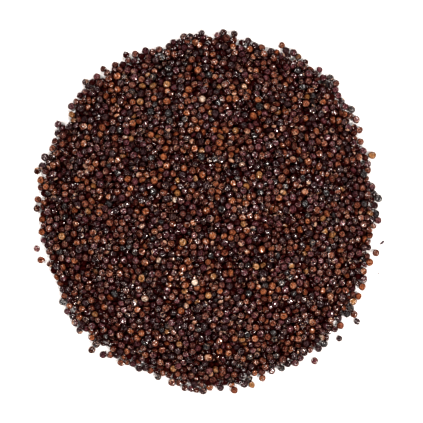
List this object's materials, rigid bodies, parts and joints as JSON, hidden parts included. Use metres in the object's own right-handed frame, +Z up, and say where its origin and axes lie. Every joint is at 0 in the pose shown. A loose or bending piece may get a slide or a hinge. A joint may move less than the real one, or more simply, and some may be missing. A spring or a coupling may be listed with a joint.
{
  "type": "heap of dry quinoa seeds",
  "caption": "Low round heap of loose dry black quinoa lying on a flat surface, with an uneven rim of single seeds. No dish.",
  "frame": {"origin": "middle of the heap's footprint, on the surface it lies on", "axes": "+Z up out of the heap, -Z out of its flat underside; +X and +Y lie in the surface, +X to the right and +Y away from the viewer when the heap is seen from above"},
  "size_m": [0.0996, 0.1034, 0.0136],
  "materials": {
    "quinoa": "satin"
  },
  "bodies": {
    "root": {"quinoa_heap": "quinoa"}
  },
  "joints": []
}
